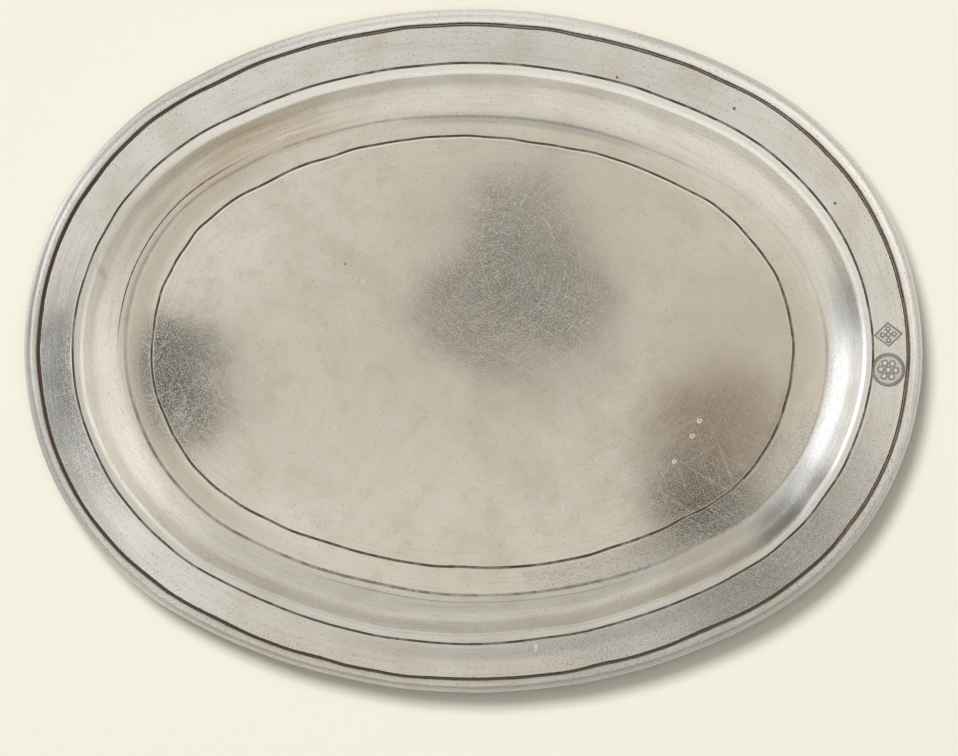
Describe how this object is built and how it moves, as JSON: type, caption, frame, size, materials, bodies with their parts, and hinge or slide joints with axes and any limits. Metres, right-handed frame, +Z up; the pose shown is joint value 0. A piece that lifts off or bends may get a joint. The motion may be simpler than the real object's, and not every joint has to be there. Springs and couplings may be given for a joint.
{
  "type": "oval serving tray",
  "caption": "Oval pewter serving tray with a shallow sunk well, a flat rim with engraved lines and a reeded edge moulding.",
  "frame": {"origin": "middle of the base, on the surface that the tray stands on", "axes": "+X along the tray's length towards the end with the struck marks, +Y across it, +Z up out of the well"},
  "size_m": [0.264, 0.201, 0.0133],
  "materials": {
    "pewter": "satin",
    "cast_pewter": "satin",
    "solder": "matte"
  },
  "bodies": {
    "root": {"dish": "pewter", "edge_moulding": "cast_pewter", "solder_fillet": "solder"}
  },
  "joints": []
}
